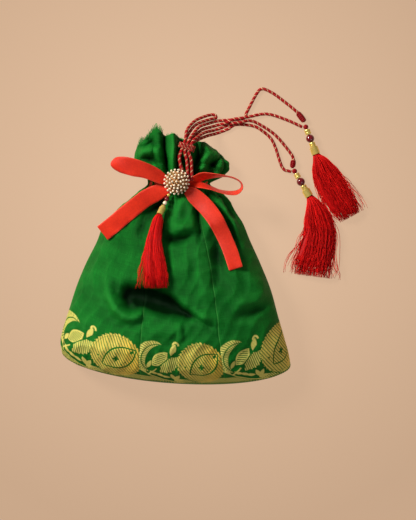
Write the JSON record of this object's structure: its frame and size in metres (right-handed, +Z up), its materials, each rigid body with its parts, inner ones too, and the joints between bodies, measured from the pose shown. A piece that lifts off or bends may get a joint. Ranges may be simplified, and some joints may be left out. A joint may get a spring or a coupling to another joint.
{
  "type": "fabric gift sack",
  "caption": "Green silk drawstring gift sack with a gold woven border, red cords, tassels, a ribbon bow and a pearl brooch.",
  "frame": {"origin": "centre of the sack's footprint on the surface that it lies on, measured without the free cords and their tassels", "axes": "+Y from the hem to the mouth, +Z up out of the front, +X to the side that the cords hang to"},
  "size_m": [0.2617, 0.26, 0.0567],
  "materials": {
    "silk": "woven silk with a soft sheen and a gold brocade border",
    "lining": "thin plain weave",
    "cord": "twisted cord, two red plies and one gold",
    "thread": "rayon threads with a soft shine",
    "gold": "polished gold plating",
    "maroon_bead": "glossy",
    "pearl": "pearl lustre",
    "ribbon": "satin ribbon with a fine rib"
  },
  "bodies": {
    "sack": {"front_left_panel": "silk", "front_center_panel": "silk", "front_right_panel": "silk", "back_right_panel": "silk", "back_center_panel": "silk", "back_left_panel": "silk", "base_panel": "silk", "lining_sleeve": "lining", "lining_base": "lining", "casing_cord": "cord", "casing_cord_ends": "cord", "neck_ribbon": "ribbon", "bow_knot": "ribbon", "bow_left_loop": "ribbon", "bow_right_loop": "ribbon", "bow_left_tail": "ribbon", "bow_right_tail": "ribbon", "brooch_back_plate": "gold", "brooch_core": "gold", "brooch_pins": "gold", "brooch_pearls": "pearl"},
    "drawstring": {"upper_loop_cord": "cord", "lower_loop_cord": "cord", "short_loop_cord": "cord", "cord_binding": "cord", "upper_whipping": "cord", "lower_whipping": "cord"},
    "upper_link": {"upper_knot": "thread"},
    "upper_tassel": {"upper_stem": "thread", "upper_crown_beads": "gold", "upper_cap": "gold", "upper_skirt": "thread"},
    "upper_beads": {"upper_maroon_bead": "maroon_bead", "upper_ring_bead": "gold"},
    "lower_link": {"lower_knot": "thread"},
    "lower_tassel": {"lower_stem": "thread", "lower_crown_beads": "gold", "lower_cap": "gold", "lower_skirt": "thread"},
    "lower_beads": {"lower_maroon_bead": "maroon_bead", "lower_ring_bead": "gold"},
    "front_link": {"front_knot": "thread"},
    "front_tassel": {"front_stem": "thread", "front_crown_beads": "gold", "front_cap": "gold", "front_skirt": "thread"},
    "front_beads": {"front_maroon_bead": "maroon_bead", "front_ring_bead": "pearl"}
  },
  "joints": [
    {"name": "drawstring_pull", "type": "slide", "parent": "sack", "child": "drawstring", "axis": [0, 1, 0], "range_m": [0, 0.012]},
    {"name": "upper_tassel_swing", "type": "hinge", "parent": "drawstring", "child": "upper_link", "pos_m": [0.1144, 0.114, 0.004], "axis": [0, 0, 1], "range_deg": [0, 50]},
    {"name": "upper_tassel_lift", "type": "hinge", "parent": "upper_link", "child": "upper_tassel", "pos_m": [0.1144, 0.114, 0.004], "axis": [-0.9354, -0.3535, 0], "range_deg": [0, 70]},
    {"name": "upper_bead_spin", "type": "hinge", "parent": "upper_tassel", "child": "upper_beads", "pos_m": [0.1144, 0.114, 0.004], "axis": [0.3535, -0.9354, 0], "continuous": true},
    {"name": "lower_tassel_swing", "type": "hinge", "parent": "drawstring", "child": "lower_link", "pos_m": [0.1045, 0.075, 0.004], "axis": [0, 0, 1], "range_deg": [-12, 0]},
    {"name": "lower_tassel_lift", "type": "hinge", "parent": "lower_link", "child": "lower_tassel", "pos_m": [0.1045, 0.075, 0.004], "axis": [-0.8625, -0.506, 0], "range_deg": [0, 70]},
    {"name": "lower_bead_spin", "type": "hinge", "parent": "lower_tassel", "child": "lower_beads", "pos_m": [0.1045, 0.075, 0.004], "axis": [0.506, -0.8625, 0], "continuous": true},
    {"name": "front_tassel_swing", "type": "hinge", "parent": "sack", "child": "front_link", "pos_m": [-0.005, 0.056, 0.026], "axis": [0, 0, 1], "range_deg": [-12, 12]},
    {"name": "front_tassel_lift", "type": "hinge", "parent": "front_link", "child": "front_tassel", "pos_m": [-0.005, 0.056, 0.026], "axis": [-0.9114, 0.4115, 0], "range_deg": [0, 25]},
    {"name": "front_bead_spin", "type": "hinge", "parent": "front_tassel", "child": "front_beads", "pos_m": [-0.005, 0.056, 0.026], "axis": [-0.3599, -0.7971, 0.4848], "continuous": true}
  ]
}
